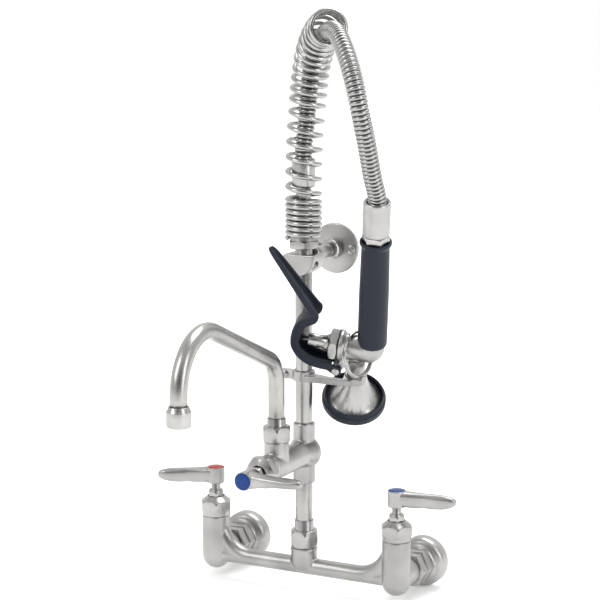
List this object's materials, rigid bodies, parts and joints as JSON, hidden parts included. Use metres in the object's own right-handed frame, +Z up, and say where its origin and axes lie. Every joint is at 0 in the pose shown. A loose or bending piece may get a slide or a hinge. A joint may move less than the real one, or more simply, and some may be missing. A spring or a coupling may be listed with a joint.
{
  "type": "pre rinse faucet",
  "caption": "Wall-mounted commercial pre-rinse faucet with lever valves, riser, sprung hose, squeeze spray valve, hook, wall bracket and a swinging add-on spout.",
  "frame": {"origin": "on the wall plane, midway between the two supply inlets", "axes": "+X towards the cold side, +Y into the wall along the inlets, +Z up the riser"},
  "size_m": [0.3139, 0.3447, 0.5771],
  "materials": {
    "satin_steel": "satin nickel or chrome plate",
    "bright_steel": "polished",
    "hose_steel": "interlocked steel hose",
    "brass": "machined, inside only",
    "navy_rubber": "dull moulded vinyl",
    "black_rubber": "dull",
    "hot_red": "gloss",
    "cold_blue": "gloss"
  },
  "bodies": {
    "faucet": {"faucet_body": "satin_steel", "inlet_coupling_nuts": "satin_steel", "inlet_washers": "black_rubber", "inlet_flanges": "satin_steel", "valve_cartridges": "brass", "bonnet_nuts": "satin_steel", "packing_nuts": "bright_steel", "riser_base_nut": "satin_steel", "riser_collar": "satin_steel", "riser_o_ring": "black_rubber", "lower_riser": "satin_steel", "upper_riser": "satin_steel", "addon_body": "satin_steel", "nozzle_nut": "satin_steel", "nozzle_o_ring": "black_rubber", "hook_clamp": "satin_steel", "hook_clamp_screw": "bright_steel", "bracket_clamp": "satin_steel", "bracket_clamp_screw": "bright_steel", "bracket_tube": "bright_steel", "bracket_lock_ring": "bright_steel", "bracket_flange": "satin_steel", "bracket_screws": "bright_steel", "spring_hex_nut": "satin_steel", "overhead_spring": "bright_steel", "hose_swivel_nut": "bright_steel", "hose_lower_ferrule": "bright_steel", "flexible_hose": "hose_steel", "hose_sleeve": "satin_steel", "hose_handle_nut": "bright_steel", "handle_tube": "satin_steel", "valve_grip": "navy_rubber", "valve_body": "satin_steel", "bonnet_gasket": "black_rubber", "valve_bonnet": "satin_steel", "valve_spring": "bright_steel", "lever_pin": "bright_steel", "hold_ring": "bright_steel", "spray_bell": "bright_steel", "spray_face": "satin_steel", "spray_bumper": "black_rubber"},
    "hot_handle": {"hot_spindle": "bright_steel", "hot_lever": "bright_steel", "hot_lever_screw": "bright_steel", "hot_index_button": "hot_red"},
    "cold_handle": {"cold_spindle": "bright_steel", "cold_lever": "bright_steel", "cold_lever_screw": "bright_steel", "cold_index_button": "cold_blue"},
    "addon_handle": {"addon_spindle": "bright_steel", "addon_lever": "bright_steel", "addon_lever_screw": "bright_steel", "addon_index_button": "cold_blue"},
    "nozzle": {"swing_nozzle": "bright_steel", "nozzle_collar": "bright_steel", "nozzle_outlet": "bright_steel"},
    "squeeze": {"squeeze_lever": "navy_rubber"},
    "stem": {"valve_stem": "bright_steel", "valve_seat_washer": "black_rubber"}
  },
  "joints": [
    {"name": "hot_valve_turn", "type": "hinge", "parent": "faucet", "child": "hot_handle", "pos_m": [-0.1016, -0.072, 0.08], "axis": [0, 0, 1], "range_deg": [0, 90]},
    {"name": "cold_valve_turn", "type": "hinge", "parent": "faucet", "child": "cold_handle", "pos_m": [0.1016, -0.072, 0.08], "axis": [0, 0, -1], "range_deg": [0, 90]},
    {"name": "addon_valve_turn", "type": "hinge", "parent": "faucet", "child": "addon_handle", "pos_m": [0, -0.19, 0.1165], "axis": [0, 1, 0], "range_deg": [0, 90]},
    {"name": "nozzle_swing", "type": "hinge", "parent": "faucet", "child": "nozzle", "pos_m": [0, -0.1307, 0.17], "axis": [0, 0, 1], "range_deg": [-120, 95]},
    {"name": "squeeze_lever_press", "type": "hinge", "parent": "faucet", "child": "squeeze", "pos_m": [0.03995, -0.07804, 0.20905], "axis": [-0.2304, 0.9115, 0.3407], "range_deg": [0, 12], "stiffness_Nm_per_rad": 2, "springref_deg": -8.59},
    {"name": "stem_slide", "type": "slide", "parent": "faucet", "child": "stem", "axis": [0.9432, 0.2953, -0.1522], "range_m": [0, 0.0076], "deforming": ["valve_spring"]}
  ],
  "couplings": [
    {"joint": "stem_slide", "follows": "squeeze_lever_press", "m_per_rad": 0.036}
  ]
}
